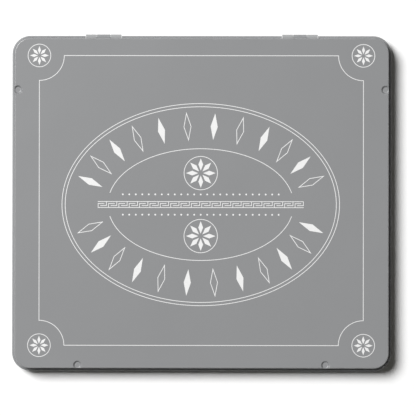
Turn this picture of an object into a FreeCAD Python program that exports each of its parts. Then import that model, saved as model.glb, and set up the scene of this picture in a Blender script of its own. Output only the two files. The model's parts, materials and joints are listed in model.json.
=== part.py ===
"""Flat hinged tin that holds one row of sharpened coloured pencils in a moulded tray.

Millimetres, +Z up, +Y towards the hinges, +X to the right. The origin is the middle of the tin's underside.
The pencils drive the model: the tray fits the pencils, the base fits the tray and the lid fits the base.
"""
import FreeCAD
import Part
import Sketcher
import math
import os

PENCIL_COUNT = 24
ROLL_TURN = 270  # degrees that a rolled sheet edge turns through
LEVEL_TOLERANCE = 1e-4

SIZES = {
    # Pencils
    "pencil_length": 175.0,
    "pencil_flats": 6.8,
    "pencil_edge_radius": 0.7,
    "pencil_end_radius": 0.4,
    "pencil_gap": 0.83,
    "sharpened_length": 21.0,
    "point_radius": 0.35,
    "core_radius": 2.0,
    "glue_gap": 0.03,
    # Moulded tray
    "tray_sheet": 0.4,
    "tray_border": 1.2,
    "tray_gap": 0.35,
    "butt_gap": 0.45,
    "tip_gap": 0.3,
    "end_margin": 0.1,
    "trough_clearance": 0.15,
    "trough_lift": 1.7,
    "ridge_drop": 2.0,
    "recess_length": 24.0,
    # Tinplate base and lid
    "tin_sheet": 0.3,
    "corner_radius": 8.5,
    "foot_radius": 1.5,
    "shoulder_radius": 0.6,
    "rim_bore": 0.4,
    "bead_bore": 0.7,
    "lid_gap": 0.35,
    "headroom": 2.9,
    # Stop dents pressed into the edge of the lid
    "dent_radius": 2.65,
    "dent_floor_radius": 1.35,
    "dent_depth": 1.1,
    "dent_round": 0.5,
    "dent_lip": 0.01,
    "dent_clearance": 0.2,
    "dent_inset": 1.8,
    "side_dent_setback": 29.0,
    "front_dent_setback": 35.5,
    # Hinges
    "hinge_setback": 49.8,
    "pin_radius": 1.05,
    "pin_clearance": 0.05,
    "lug_length": 7.4,
    "knuckle_length": 6.0,
    "knuckle_gap": 0.3,
    "notch_clearance": 0.25,
    "flange_height": 3.5,
    "flange_clearance": 0.25,
    "open_clearance": 0.1,
}

# Pencil section and the row that the pencils make
CORNER_REACH = "(Sizes.pencil_flats / sqrt(3) - Sizes.pencil_edge_radius * (2 / sqrt(3) - 1))"
PITCH = f"(2 * {CORNER_REACH} + Sizes.pencil_gap)"
ROW_WIDTH = f"({PENCIL_COUNT} * {PITCH})"
SHARPEN_SLOPE = f"(({CORNER_REACH} - Sizes.point_radius) / Sizes.sharpened_length)"

# Heights, from the underside of the tin to the top of the lid
TROUGH_RADIUS = f"({CORNER_REACH} + Sizes.trough_clearance)"
PENCIL_AXIS = f"(Sizes.tin_sheet + Sizes.trough_lift + Sizes.tray_sheet + {TROUGH_RADIUS})"
RIDGE_TOP = f"({PENCIL_AXIS} - Sizes.ridge_drop)"
LID_TOP = f"({PENCIL_AXIS} + {CORNER_REACH} + Sizes.headroom + Sizes.tin_sheet)"
DENT_FLOOR = f"({LID_TOP} - Sizes.dent_depth)"
DENT_FOOT = f"({DENT_FLOOR} + Sizes.dent_round)"  # centre of the rounding between floor and wall
DENT_MOUTH = f"({LID_TOP} + Sizes.dent_lip - Sizes.dent_round)"  # centre of the rounding between wall and panel
RIM_TOP = f"({DENT_FLOOR} - Sizes.tin_sheet - Sizes.dent_clearance)"
RIM_CENTRE = f"({RIM_TOP} - Sizes.rim_bore - Sizes.tin_sheet)"
AXIS_HEIGHT = f"({LID_TOP} / 2 + Sizes.open_clearance)"


def corner_loss(radius, inset):
    """How far a rounded corner draws in a straight end, at an inset from the side."""
    return f"({radius} - sqrt({radius}^2 - ({radius} - {inset})^2))"


# Corner radii step in from the skirt of the lid to the tray, so that the walls stay an even distance apart
LID_STEP = "(Sizes.lid_gap + Sizes.tin_sheet)"
BASE_STEP = "(Sizes.tray_gap + 2 * (Sizes.rim_bore + Sizes.tin_sheet))"
BASE_CORNER = f"(Sizes.corner_radius - {LID_STEP})"
TRAY_CORNER = f"({BASE_CORNER} - {BASE_STEP})"

# Room that the tray's rounded corners leave for the square ends of the outermost pencil and trough
SHELL_RADIUS = f"({TROUGH_RADIUS} + Sizes.tray_sheet)"
SHELL_CHORD = f"(2 * sqrt({SHELL_RADIUS}^2 - (Sizes.ridge_drop + Sizes.tray_sheet / 2)^2))"
PENCIL_INSET = "(Sizes.tray_border - Sizes.tray_sheet + Sizes.pencil_gap / 2)"
SHELL_INSET = f"(Sizes.tray_border + ({PITCH} - {SHELL_CHORD}) / 2)"
BUTT_ROOM = f"({corner_loss(f'({TRAY_CORNER} - Sizes.tray_sheet)', PENCIL_INSET)} + Sizes.butt_gap)"
END_BORDER = f"({corner_loss(TRAY_CORNER, SHELL_INSET)} + Sizes.end_margin)"

# Plan, from the tray outwards to the skirt of the lid
TRAY_WIDTH = f"({ROW_WIDTH} + 2 * Sizes.tray_border)"
TRAY_DEPTH = f"({BUTT_ROOM} + Sizes.pencil_length + Sizes.tip_gap + {END_BORDER} + 2 * Sizes.tray_sheet)"
BASE_WIDTH = f"({TRAY_WIDTH} + 2 * {BASE_STEP})"
BASE_DEPTH = f"({TRAY_DEPTH} + 2 * {BASE_STEP})"
LID_WIDTH = f"({BASE_WIDTH} + 2 * {LID_STEP})"
LID_DEPTH = f"({BASE_DEPTH} + 2 * {LID_STEP})"

# Along the row: the front of the tray, the back of the press recess and the ends of pencils and troughs
TRAY_FRONT = f"(0 - {TRAY_DEPTH} / 2)"
RECESS_BACK = f"({TRAY_FRONT} + Sizes.tray_sheet + Sizes.recess_length)"
PENCIL_BUTT = f"({TRAY_FRONT} + Sizes.tray_sheet + {BUTT_ROOM})"
TROUGH_FRONT = f"({RECESS_BACK} - {TRAY_CORNER})"
TROUGH_BACK = f"({PENCIL_BUTT} + Sizes.pencil_length + Sizes.tip_gap)"

# Hinges: rolled tinplate round a wire pin, behind the skirt of the lid
ROLL_BORE = "(Sizes.pin_radius + Sizes.pin_clearance)"
ROLL_RADIUS = f"({ROLL_BORE} + Sizes.tin_sheet)"
AXIS_Y = f"({LID_DEPTH} / 2 + {ROLL_BORE})"
HINGE_X = f"({LID_WIDTH} / 2 - Sizes.hinge_setback)"
HINGE_LENGTH = "(Sizes.lug_length + 2 * (Sizes.knuckle_length + Sizes.knuckle_gap))"
KNUCKLE_X = "((Sizes.lug_length + Sizes.knuckle_length) / 2 + Sizes.knuckle_gap)"
NOTCH_TOP = f"({AXIS_HEIGHT} + {ROLL_RADIUS} + Sizes.notch_clearance)"
FLANGE_TOP = f"({AXIS_HEIGHT} - {ROLL_RADIUS} - Sizes.flange_clearance)"

SIDES = {"left": -1, "right": 1}

document = FreeCAD.newDocument("pencil_tin")
sheet = document.addObject("Spreadsheet::Sheet", "Sizes")
for row, (alias, number) in enumerate(SIZES.items(), start=1):
    sheet.set(f"A{row}", alias)
    sheet.set(f"B{row}", str(number))
    sheet.setAlias(f"B{row}", alias)
document.recompute()


def worth(expression):
    """The number that an expression on the sheet gives now."""
    return float(sheet.evalExpression(str(expression)))


def bind(target, **expressions):
    """Tie properties of a feature to expressions; two underscores in a name stand for a dot."""
    for name, expression in expressions.items():
        target.setExpression(name.replace("__", "."), str(expression))


def new_body(label):
    """An empty body with its label."""
    body = document.addObject("PartDesign::Body", label)
    body.Label = label
    return body


def new_sketch(body, name, role, offset="0", rise="0"):
    """A sketch on one of a body's origin planes, moved along its normal and its own second axis."""
    sketch = body.newObject("Sketcher::SketchObject", name)
    plane = next(item for item in body.Origin.OriginFeatures if item.Role == role)
    sketch.AttachmentSupport = (plane, [""])
    sketch.MapMode = "FlatFace"
    bind(sketch, AttachmentOffset__Base__y=rise, AttachmentOffset__Base__z=offset)
    return sketch


def hold(sketch, name, expression, *constraint):
    """A named dimension of a sketch, driven by an expression."""
    index = sketch.addConstraint(Sketcher.Constraint(*constraint, worth(expression)))
    sketch.renameConstraint(index, name)
    sketch.setExpression(f"Constraints.{name}", str(expression))


def place_point(sketch, name, geometry, point, across, up):
    """Drive a sketch point's distances from the sketch origin, which may be zero or negative."""
    for axis, kind, expression in (("across", "DistanceX", across), ("up", "DistanceY", up)):
        hold(sketch, f"{name}_{axis}", expression, kind, -1, 1, geometry, point)


def draw_polygon(sketch, corners):
    """A closed outline of straight lines whose corners are pairs of expressions."""
    points = [FreeCAD.Vector(worth(across), worth(up), 0) for across, up in corners]
    count = len(points)
    lines = [
        sketch.addGeometry(Part.LineSegment(points[index], points[(index + 1) % count]), False)
        for index in range(count)
    ]
    for index, line in enumerate(lines):
        sketch.addConstraint(Sketcher.Constraint("Coincident", line, 2, lines[(index + 1) % count], 1))
    for index, (across, up) in enumerate(corners):
        place_point(sketch, f"corner{index}", lines[index], 1, across, up)


def draw_circle(sketch, radius, across="0", up="0"):
    """A circle with its radius and centre driven."""
    centre = FreeCAD.Vector(worth(across), worth(up), 0)
    circle = sketch.addGeometry(Part.Circle(centre, FreeCAD.Vector(0, 0, 1), worth(radius)), False)
    hold(sketch, "radius", radius, "Radius", circle)
    place_point(sketch, "centre", circle, 3, across, up)


def draw_arc(sketch, centre, radius, start, end):
    """An arc between two angles in degrees; its constraints are left to the caller."""
    circle = Part.Circle(centre, FreeCAD.Vector(0, 0, 1), radius)
    return sketch.addGeometry(Part.ArcOfCircle(circle, math.radians(start), math.radians(end)), False)


def draw_rounded_rectangle(sketch, width, depth, radius):
    """A rounded rectangle about the sketch origin whose outline starts at the middle of its right side."""
    corner = worth(radius)
    x = worth(width) / 2
    y = worth(depth) / 2
    straights = [
        ((x, 0), (x, y - corner)),
        ((x - corner, y), (corner - x, y)),
        ((-x, y - corner), (-x, corner - y)),
        ((corner - x, -y), (x - corner, -y)),
        ((x, corner - y), (x, 0)),
    ]
    centres = [
        (x - corner, y - corner),
        (corner - x, y - corner),
        (corner - x, corner - y),
        (x - corner, corner - y),
    ]
    lines = []
    arcs = []
    for index, (start, end) in enumerate(straights):
        line = Part.LineSegment(FreeCAD.Vector(*start, 0), FreeCAD.Vector(*end, 0))
        lines.append(sketch.addGeometry(line, False))
        if index < len(centres):
            centre = FreeCAD.Vector(*centres[index], 0)
            arcs.append(draw_arc(sketch, centre, corner, 90 * index, 90 * index + 90))
    for index, arc in enumerate(arcs):
        sketch.addConstraint(Sketcher.Constraint("Tangent", lines[index], 2, arc, 1))
        sketch.addConstraint(Sketcher.Constraint("Tangent", arc, 2, lines[index + 1], 1))
    sketch.addConstraint(Sketcher.Constraint("Coincident", lines[4], 2, lines[0], 1))
    sketch.addConstraint(Sketcher.Constraint("PointOnObject", lines[0], 1, -1))
    for upright in (lines[0], lines[2], lines[4]):
        sketch.addConstraint(Sketcher.Constraint("Vertical", upright))
    for level in (lines[1], lines[3]):
        sketch.addConstraint(Sketcher.Constraint("Horizontal", level))
    for arc in arcs[1:]:
        sketch.addConstraint(Sketcher.Constraint("Equal", arcs[0], arc))
    hold(sketch, "radius", radius, "Radius", arcs[0])
    hold(sketch, "right_reach", f"{width} / 2", "DistanceX", -1, 1, lines[0], 1)
    hold(sketch, "left_reach", f"-{width} / 2", "DistanceX", -1, 1, lines[2], 1)
    hold(sketch, "back_reach", f"{depth} / 2", "DistanceY", -1, 1, lines[1], 1)
    hold(sketch, "front_reach", f"-{depth} / 2", "DistanceY", -1, 1, lines[3], 1)


def draw_roll(sketch, across, up, bore, start):
    """The section of a sheet edge rolled three quarters of a turn, from a start angle of whole quarters."""
    radius = f"({bore} + Sizes.tin_sheet)"
    centre = FreeCAD.Vector(worth(across), worth(up), 0)
    end = start + ROLL_TURN
    outer = draw_arc(sketch, centre, worth(radius), start, end)
    inner = draw_arc(sketch, centre, worth(bore), start, end)
    hold(sketch, "outer", radius, "Radius", outer)
    hold(sketch, "inner", bore, "Radius", inner)
    place_point(sketch, "centre", outer, 3, across, up)
    sketch.addConstraint(Sketcher.Constraint("Coincident", inner, 3, outer, 3))
    for point, angle in ((1, start), (2, end)):
        level = "Horizontal" if angle % 180 == 0 else "Vertical"
        sketch.addConstraint(Sketcher.Constraint(level, outer, 3, outer, point))
        sketch.addConstraint(Sketcher.Constraint(level, outer, 3, inner, point))
        direction = FreeCAD.Vector(math.cos(math.radians(angle)), math.sin(math.radians(angle)), 0)
        edge = Part.LineSegment(centre + direction * worth(bore), centre + direction * worth(radius))
        line = sketch.addGeometry(edge, False)
        sketch.addConstraint(Sketcher.Constraint("Coincident", line, 1, inner, point))
        sketch.addConstraint(Sketcher.Constraint("Coincident", line, 2, outer, point))


def add_pad(body, name, sketch, length, middle=False):
    """Extrude a sketch along its normal, or to both sides of its plane."""
    pad = body.newObject("PartDesign::Pad", name)
    pad.Profile = sketch
    if middle:
        pad.SideType = "Symmetric"
    bind(pad, Length=length)
    document.recompute()
    return pad


def names_on_level(kind, items, level):
    """Names of the edges or faces that lie flat on one level."""
    names = []
    for index, item in enumerate(items, start=1):
        box = item.BoundBox
        if max(abs(box.ZMin - level), abs(box.ZMax - level)) < LEVEL_TOLERANCE:
            names.append(f"{kind}{index}")
    return names


def add_shell(body, name, base, open_level, thickness):
    """Hollow a block to a sheet's thickness, open at the flat face on one level."""
    faces = names_on_level("Face", base.Shape.Faces, worth(open_level))
    shell = body.newObject("PartDesign::Thickness", name)
    shell.Base = (base, faces)
    shell.Reversed = True
    bind(shell, Value=thickness)
    document.recompute()
    return shell


def add_box(body, kind, name, lowest, highest):
    """A box feature between two corners given as expressions."""
    box = body.newObject(f"PartDesign::{kind}Box", name)
    for axis, side, low, high in zip("xyz", ("Length", "Width", "Height"), lowest, highest):
        box.setExpression(f"Placement.Base.{axis}", low)
        box.setExpression(side, f"{high} - {low}")
    document.recompute()
    return box


def add_edge_roll(body, name, width, depth, radius, height, bore, start):
    """Sweep a rolled edge round a rounded rectangle that is the roll's own centre line."""
    path = new_sketch(body, f"{name}_path", "XY_Plane", height)
    draw_rounded_rectangle(path, width, depth, radius)
    section = new_sketch(body, f"{name}_section", "XZ_Plane")
    draw_roll(section, f"{width} / 2", height, bore, start)
    document.recompute()
    roll = body.newObject("PartDesign::AdditivePipe", name)
    roll.Profile = section
    edges = [f"Edge{index}" for index in range(1, len(path.Shape.Edges) + 1)]
    roll.Spine = (path, edges)
    document.recompute()
    return roll


def add_bead_web(body, name, roll, skirt, height, bore):
    """Sweep the level sheet that bends out of a skirt over the top of its rolled edge."""
    section = new_sketch(body, f"{name}_section", "XZ_Plane")
    inside = f"({skirt} - Sizes.tin_sheet)"
    outside = f"({skirt} + {bore})"
    underside = f"({height} + {bore})"
    top = f"({underside} + Sizes.tin_sheet)"
    draw_polygon(section, [(inside, underside), (outside, underside), (outside, top), (inside, top)])
    document.recompute()
    web = body.newObject("PartDesign::AdditivePipe", name)
    web.Profile = section
    web.Spine = roll.Spine
    document.recompute()
    return web


def add_rounding(body, name, base, edges, radius):
    """Round the named edges of a feature."""
    rounding = body.newObject("PartDesign::Fillet", name)
    rounding.Base = (base, edges)
    bind(rounding, Radius=radius)
    document.recompute()
    return rounding


def make_lid_block(label):
    """The outside of the lid as a solid block: skirt, rounded corners and rounded shoulder."""
    body = new_body(label)
    outline = new_sketch(body, f"{label}_outline", "XY_Plane", AXIS_HEIGHT)
    draw_rounded_rectangle(outline, LID_WIDTH, LID_DEPTH, "Sizes.corner_radius")
    block = add_pad(body, f"{label}_pad", outline, f"{LID_TOP} - {AXIS_HEIGHT}")
    top_edges = names_on_level("Edge", block.Shape.Edges, worth(LID_TOP))
    shoulder = add_rounding(body, f"{label}_shoulder", block, top_edges, "Sizes.shoulder_radius")
    return body, shoulder


def make_lid_pressing():
    """The lid's sheet with its rolled lower edge, its hinge notches and the lugs rolled round the pins."""
    body, shoulder = make_lid_block("lid_pressing")
    add_shell(body, "lid_sheet", shoulder, AXIS_HEIGHT, "Sizes.tin_sheet")
    bead = add_edge_roll(
        body, "lid_bead",
        f"({LID_WIDTH} + 2 * Sizes.bead_bore)", f"({LID_DEPTH} + 2 * Sizes.bead_bore)",
        "(Sizes.corner_radius + Sizes.bead_bore)", AXIS_HEIGHT, "Sizes.bead_bore", 180,
    )
    add_bead_web(body, "lid_bead_web", bead, f"({LID_WIDTH} / 2)", AXIS_HEIGHT, "Sizes.bead_bore")
    skirt_inside = f"({LID_DEPTH} / 2 - Sizes.tin_sheet)"
    skirt_outside = f"({LID_DEPTH} / 2)"
    bead_bottom = f"({AXIS_HEIGHT} - Sizes.bead_bore - 2 * Sizes.tin_sheet)"
    bead_back = f"({skirt_outside} + 2 * (Sizes.bead_bore + Sizes.tin_sheet))"
    notch_half = f"({HINGE_LENGTH} / 2 + Sizes.notch_clearance)"
    for side, sign in SIDES.items():
        middle = f"({sign} * {HINGE_X})"
        add_box(
            body, "Subtractive", f"{side}_notch",
            (f"({middle} - {notch_half})", f"({skirt_inside} - Sizes.lid_gap / 2)", bead_bottom),
            (f"({middle} + {notch_half})", bead_back, NOTCH_TOP),
        )
        add_box(
            body, "Additive", f"{side}_lug_strap",
            (f"({middle} - Sizes.lug_length / 2)", skirt_inside, AXIS_HEIGHT),
            (f"({middle} + Sizes.lug_length / 2)", skirt_outside, NOTCH_TOP),
        )
        section = new_sketch(body, f"{side}_lug_section", "YZ_Plane", middle)
        draw_roll(section, AXIS_Y, AXIS_HEIGHT, ROLL_BORE, 180)
        add_pad(body, f"{side}_lug_roll", section, "Sizes.lug_length", middle=True)
        add_box(
            body, "Additive", f"{side}_lug_web",
            (f"({middle} - Sizes.lug_length / 2)", skirt_inside, f"({AXIS_HEIGHT} + {ROLL_BORE})"),
            (f"({middle} + Sizes.lug_length / 2)", AXIS_Y, f"({AXIS_HEIGHT} + {ROLL_RADIUS})"),
        )
    return body


def dent_centres():
    """Centres of the four stop dents: one near the back of each side, two along the front."""
    side_x = f"({LID_WIDTH} / 2 - Sizes.dent_inset)"
    side_y = f"({LID_DEPTH} / 2 - Sizes.side_dent_setback)"
    front_x = f"({LID_WIDTH} / 2 - Sizes.front_dent_setback)"
    front_y = f"(Sizes.dent_inset - {LID_DEPTH} / 2)"
    centres = {}
    for side, sign in SIDES.items():
        centres[f"{side}_side"] = (f"{sign} * {side_x}", side_y)
        centres[f"{side}_front"] = (f"{sign} * {front_x}", front_y)
    return centres


def draw_dent_section(sketch, top, mouth_round, foot_round):
    """Half the section of a dent: a level floor, a rounded foot, a wall and a mouth rounded up to a level top."""
    mouth = FreeCAD.Vector(worth("Sizes.dent_radius"), worth(DENT_MOUTH), 0)
    foot = FreeCAD.Vector(worth("Sizes.dent_floor_radius"), worth(DENT_FOOT), 0)
    between = mouth - foot
    lean = math.asin((worth(mouth_round) + worth(foot_round)) / between.Length)
    slope = math.degrees(math.atan2(between.y, between.x) + lean)
    entry = math.degrees(math.acos((worth(top) - mouth.y) / worth(mouth_round)))
    mouth_arc = draw_arc(sketch, mouth, worth(mouth_round), 90 + entry, 90 + slope)
    foot_arc = draw_arc(sketch, foot, worth(foot_round), 270, 270 + slope)

    mouth_shape = sketch.Geometry[mouth_arc]
    foot_shape = sketch.Geometry[foot_arc]
    axis_top = FreeCAD.Vector(0, worth(top), 0)
    axis_foot = FreeCAD.Vector(0, foot_shape.StartPoint.y, 0)
    wall = sketch.addGeometry(Part.LineSegment(foot_shape.EndPoint, mouth_shape.EndPoint), False)
    cover = sketch.addGeometry(Part.LineSegment(mouth_shape.StartPoint, axis_top), False)
    axis = sketch.addGeometry(Part.LineSegment(axis_top, axis_foot), False)
    floor = sketch.addGeometry(Part.LineSegment(axis_foot, foot_shape.StartPoint), False)
    sketch.addConstraint(Sketcher.Constraint("Tangent", floor, 2, foot_arc, 1))
    sketch.addConstraint(Sketcher.Constraint("Tangent", foot_arc, 2, wall, 1))
    sketch.addConstraint(Sketcher.Constraint("Tangent", wall, 2, mouth_arc, 2))
    sketch.addConstraint(Sketcher.Constraint("Coincident", mouth_arc, 1, cover, 1))
    sketch.addConstraint(Sketcher.Constraint("Coincident", cover, 2, axis, 1))
    sketch.addConstraint(Sketcher.Constraint("Coincident", axis, 2, floor, 1))
    for level in (cover, floor):
        sketch.addConstraint(Sketcher.Constraint("Horizontal", level))
    for point in (1, 2):
        sketch.addConstraint(Sketcher.Constraint("PointOnObject", axis, point, -2))
    hold(sketch, "mouth_radius", mouth_round, "Radius", mouth_arc)
    hold(sketch, "foot_radius", foot_round, "Radius", foot_arc)
    place_point(sketch, "mouth", mouth_arc, 3, "Sizes.dent_radius", DENT_MOUTH)
    place_point(sketch, "foot", foot_arc, 3, "Sizes.dent_floor_radius", DENT_FOOT)
    hold(sketch, "top", top, "DistanceY", -1, 1, cover, 1)


def make_dent_turnings(name, top, mouth_round, foot_round):
    """Four turned solids in the places of the dents."""
    turnings = []
    for place, (across, along) in dent_centres().items():
        label = f"{place}_{name}"
        body = new_body(label)
        section = new_sketch(body, f"{label}_section", "XZ_Plane")
        draw_dent_section(section, top, mouth_round, foot_round)
        turning = body.newObject("PartDesign::Revolution", f"{label}_turning")
        turning.Profile = section
        turning.ReferenceAxis = (section, ["V_Axis"])
        turning.Angle = 360
        bind(body, Placement__Base__x=across, Placement__Base__y=along)
        document.recompute()
        turnings.append(body)
    return turnings


def add_boolean(kind, label, shapes):
    """Join or intersect several objects."""
    result = document.addObject(f"Part::Multi{kind}", label)
    result.Shapes = shapes
    document.recompute()
    return result


def make_lid():
    """The lid with its stop dents: each dent is a rounded hollow backed by the same sheet thickness."""
    pressing = make_lid_pressing()
    envelope, _ = make_lid_block("lid_envelope")
    backs = make_dent_turnings(
        "dent_back", f"({LID_TOP} - Sizes.tin_sheet + Sizes.dent_lip / 2)",
        "(Sizes.dent_round - Sizes.tin_sheet)", "(Sizes.dent_round + Sizes.tin_sheet)",
    )
    hollows = make_dent_turnings("dent_hollow", LID_TOP, "Sizes.dent_round", "Sizes.dent_round")
    trimmed = [
        add_boolean("Common", f"{back.Label}_trimmed", [back, envelope]) for back in backs
    ]
    backed = add_boolean("Fuse", "lid_with_dent_backs", [pressing, *trimmed])
    lid = document.addObject("Part::Cut", "lid_shell")
    lid.Base = backed
    lid.Tool = add_boolean("Fuse", "dent_hollows", hollows)
    document.recompute()
    return lid


def make_base():
    """The open base: flat floor, rounded foot, upright walls and a rim rolled inwards."""
    body = new_body("base_shell")
    outline = new_sketch(body, "base_outline", "XY_Plane")
    draw_rounded_rectangle(outline, BASE_WIDTH, BASE_DEPTH, BASE_CORNER)
    block = add_pad(body, "base_block", outline, RIM_CENTRE)
    foot_edges = names_on_level("Edge", block.Shape.Edges, 0.0)
    foot = add_rounding(body, "base_foot", block, foot_edges, "Sizes.foot_radius")
    add_shell(body, "base_sheet", foot, RIM_CENTRE, "Sizes.tin_sheet")
    inset = "(Sizes.tin_sheet + Sizes.rim_bore)"
    add_edge_roll(
        body, "base_rim",
        f"({BASE_WIDTH} - 2 * {inset})", f"({BASE_DEPTH} - 2 * {inset})",
        f"({BASE_CORNER} - {inset})", RIM_CENTRE, "Sizes.rim_bore", 0,
    )
    return body


def make_hinge_leaf(side):
    """A hinge leaf on the base's back wall: a flange, and two knuckles on webs that step out to the pin."""
    label = f"{side}_hinge_leaf"
    middle = f"({SIDES[side]} * {HINGE_X})"
    wall = f"({BASE_DEPTH} / 2)"
    face = f"({wall} + Sizes.tin_sheet)"
    flange_foot = f"({FLANGE_TOP} - Sizes.flange_height)"
    body = new_body(label)
    add_box(
        body, "Additive", f"{label}_flange",
        (f"({middle} - {HINGE_LENGTH} / 2)", wall, flange_foot),
        (f"({middle} + {HINGE_LENGTH} / 2)", face, FLANGE_TOP),
    )
    for end, sign in SIDES.items():
        knuckle = f"({middle} + {sign} * {KNUCKLE_X})"
        web = new_sketch(body, f"{label}_{end}_web_section", "YZ_Plane", knuckle)
        draw_polygon(web, [
            (wall, FLANGE_TOP),
            (face, FLANGE_TOP),
            (f"({AXIS_Y} - {ROLL_BORE})", AXIS_HEIGHT),
            (f"({AXIS_Y} - {ROLL_RADIUS})", AXIS_HEIGHT),
        ])
        add_pad(body, f"{label}_{end}_web", web, "Sizes.knuckle_length", middle=True)
        roll = new_sketch(body, f"{label}_{end}_roll_section", "YZ_Plane", knuckle)
        draw_roll(roll, AXIS_Y, AXIS_HEIGHT, ROLL_BORE, 270)
        add_pad(body, f"{label}_{end}_roll", roll, "Sizes.knuckle_length", middle=True)
    return body


def make_hinge_pin(side):
    """A straight wire pin as long as its hinge."""
    pin = document.addObject("Part::Cylinder", f"{side}_hinge_pin")
    pin.Placement.Rotation = FreeCAD.Rotation(FreeCAD.Vector(0, 1, 0), 90)
    bind(
        pin, Radius="Sizes.pin_radius", Height=HINGE_LENGTH,
        Placement__Base__x=f"{SIDES[side]} * {HINGE_X} - {HINGE_LENGTH} / 2",
        Placement__Base__y=AXIS_Y, Placement__Base__z=AXIS_HEIGHT,
    )
    return pin


def repeat_along_row(body, name, feature):
    """Repeat a feature of the first trough across the whole row of pencils."""
    pattern = body.newObject("PartDesign::LinearPattern", name)
    pattern.Originals = [feature]
    axis = next(item for item in body.Origin.OriginFeatures if item.Role == "X_Axis")
    pattern.Direction = (axis, [""])
    pattern.Occurrences = PENCIL_COUNT
    bind(pattern, Length=f"{PENCIL_COUNT - 1} * {PITCH}")
    body.Tip = pattern
    document.recompute()
    return pattern


def pencil_place(index):
    """Where a pencil's axis lies across the row, as an expression."""
    return f"({index - (PENCIL_COUNT - 1) / 2} * {PITCH})"


def draw_recess(body, name, level, inset):
    """The plan of the press recess at the front of the tray, drawn in from the tray's outline."""
    depth = f"(Sizes.recess_length + 2 * Sizes.tray_sheet - 2 * {inset})"
    middle = f"({TRAY_FRONT} + Sizes.tray_sheet + Sizes.recess_length / 2)"
    plan = new_sketch(body, name, "XY_Plane", level, middle)
    draw_rounded_rectangle(plan, f"({TRAY_WIDTH} - 2 * {inset})", depth, f"({TRAY_CORNER} - {inset})")
    return plan


def make_tray():
    """The moulded tray: a skirt on the base's floor, a trough per pencil and a recess to press pencils up."""
    body = new_body("insert_tray")
    outline = new_sketch(body, "tray_outline", "XY_Plane", "Sizes.tin_sheet")
    draw_rounded_rectangle(outline, TRAY_WIDTH, TRAY_DEPTH, TRAY_CORNER)
    block = add_pad(body, "tray_block", outline, f"{RIDGE_TOP} - Sizes.tin_sheet")
    add_shell(body, "tray_sheet_form", block, "Sizes.tin_sheet", "Sizes.tray_sheet")
    plug = draw_recess(body, "recess_plug_plan", "Sizes.tin_sheet", "0")
    add_pad(body, "recess_plug", plug, f"{RIDGE_TOP} - Sizes.tin_sheet")

    first = pencil_place(0)
    shell_section = new_sketch(body, "trough_shell_section", "XZ_Plane", f"0 - {TROUGH_FRONT}")
    draw_trough_shell(shell_section, first)
    shell = add_pad(body, "trough_shell", shell_section, f"{TROUGH_BACK} + Sizes.tray_sheet - {TROUGH_FRONT}")
    shell.Reversed = True
    document.recompute()
    repeat_along_row(body, "trough_shells", shell)

    hollow = body.newObject("PartDesign::Pocket", "recess_hollow")
    hollow.Profile = draw_recess(body, "recess_hollow_plan", RIDGE_TOP, "Sizes.tray_sheet")
    bind(hollow, Length=f"{RIDGE_TOP} - Sizes.tin_sheet - Sizes.tray_sheet")
    document.recompute()

    trough_section = new_sketch(body, "trough_section", "XZ_Plane", f"0 - {TROUGH_FRONT}")
    draw_circle(trough_section, TROUGH_RADIUS, first, PENCIL_AXIS)
    trough = body.newObject("PartDesign::Pocket", "trough")
    trough.Profile = trough_section
    bind(trough, Length=f"{TROUGH_BACK} - {TROUGH_FRONT}")
    document.recompute()
    repeat_along_row(body, "troughs", trough)
    return body


def draw_trough_shell(sketch, across):
    """The outside of one trough below the tray's top sheet: an arc closed by a level chord."""
    chord = f"({RIDGE_TOP} - Sizes.tray_sheet / 2)"
    centre = FreeCAD.Vector(worth(across), worth(PENCIL_AXIS), 0)
    half = worth(SHELL_CHORD) / 2
    dip = math.degrees(math.acos(half / worth(SHELL_RADIUS)))
    arc = draw_arc(sketch, centre, worth(SHELL_RADIUS), 180 + dip, 360 - dip)
    left = FreeCAD.Vector(centre.x - half, worth(chord), 0)
    right = FreeCAD.Vector(centre.x + half, worth(chord), 0)
    line = sketch.addGeometry(Part.LineSegment(right, left), False)
    sketch.addConstraint(Sketcher.Constraint("Coincident", arc, 2, line, 1))
    sketch.addConstraint(Sketcher.Constraint("Coincident", line, 2, arc, 1))
    sketch.addConstraint(Sketcher.Constraint("Horizontal", line))
    hold(sketch, "radius", SHELL_RADIUS, "Radius", arc)
    place_point(sketch, "centre", arc, 3, across, PENCIL_AXIS)
    hold(sketch, "chord", chord, "DistanceY", -1, 1, line, 1)


def lay_pencil_piece(body, index):
    """Lay a piece that is modelled standing on its end along the row, points towards the hinges."""
    body.Placement.Rotation = FreeCAD.Rotation(FreeCAD.Vector(1, 0, 0), -90)
    bind(
        body, Placement__Base__x=pencil_place(index),
        Placement__Base__y=PENCIL_BUTT, Placement__Base__z=PENCIL_AXIS,
    )


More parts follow.
